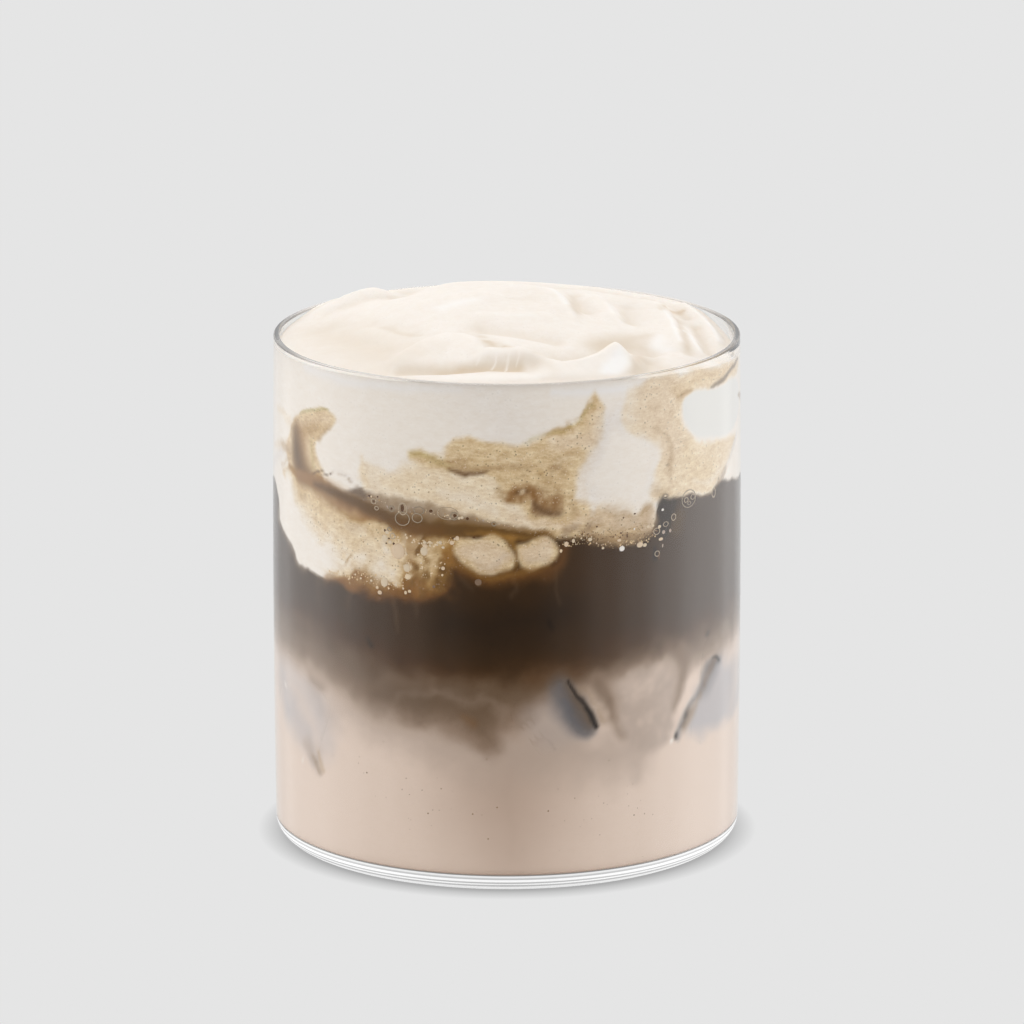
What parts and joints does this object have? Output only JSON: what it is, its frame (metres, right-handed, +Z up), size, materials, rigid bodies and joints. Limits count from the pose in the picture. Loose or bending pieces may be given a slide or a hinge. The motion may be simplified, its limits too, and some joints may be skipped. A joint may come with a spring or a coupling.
{
  "type": "hojicha latte in glass",
  "caption": "Layered roasted-tea latte in a straight thin-walled tumbler: sweet milk below, dark tea in the middle and a mound of soft whipped cream on top.",
  "frame": {"origin": "on the glass's axis, at the level of the foot ring that it stands on", "axes": "+Z up along the glass's axis; -Y towards the front of the drink, where the cream reaches the rim; +X to the right of the front"},
  "size_m": [0.0808, 0.0808, 0.0948],
  "materials": {
    "glass": "clear, smooth, fire-polished rim",
    "milk": "beige milky drink",
    "tea": "dark roasted tea",
    "cream": "soft whipped cream"
  },
  "bodies": {
    "root": {"glass": "glass", "milk": "milk", "tea": "tea", "cream": "cream"}
  },
  "joints": []
}
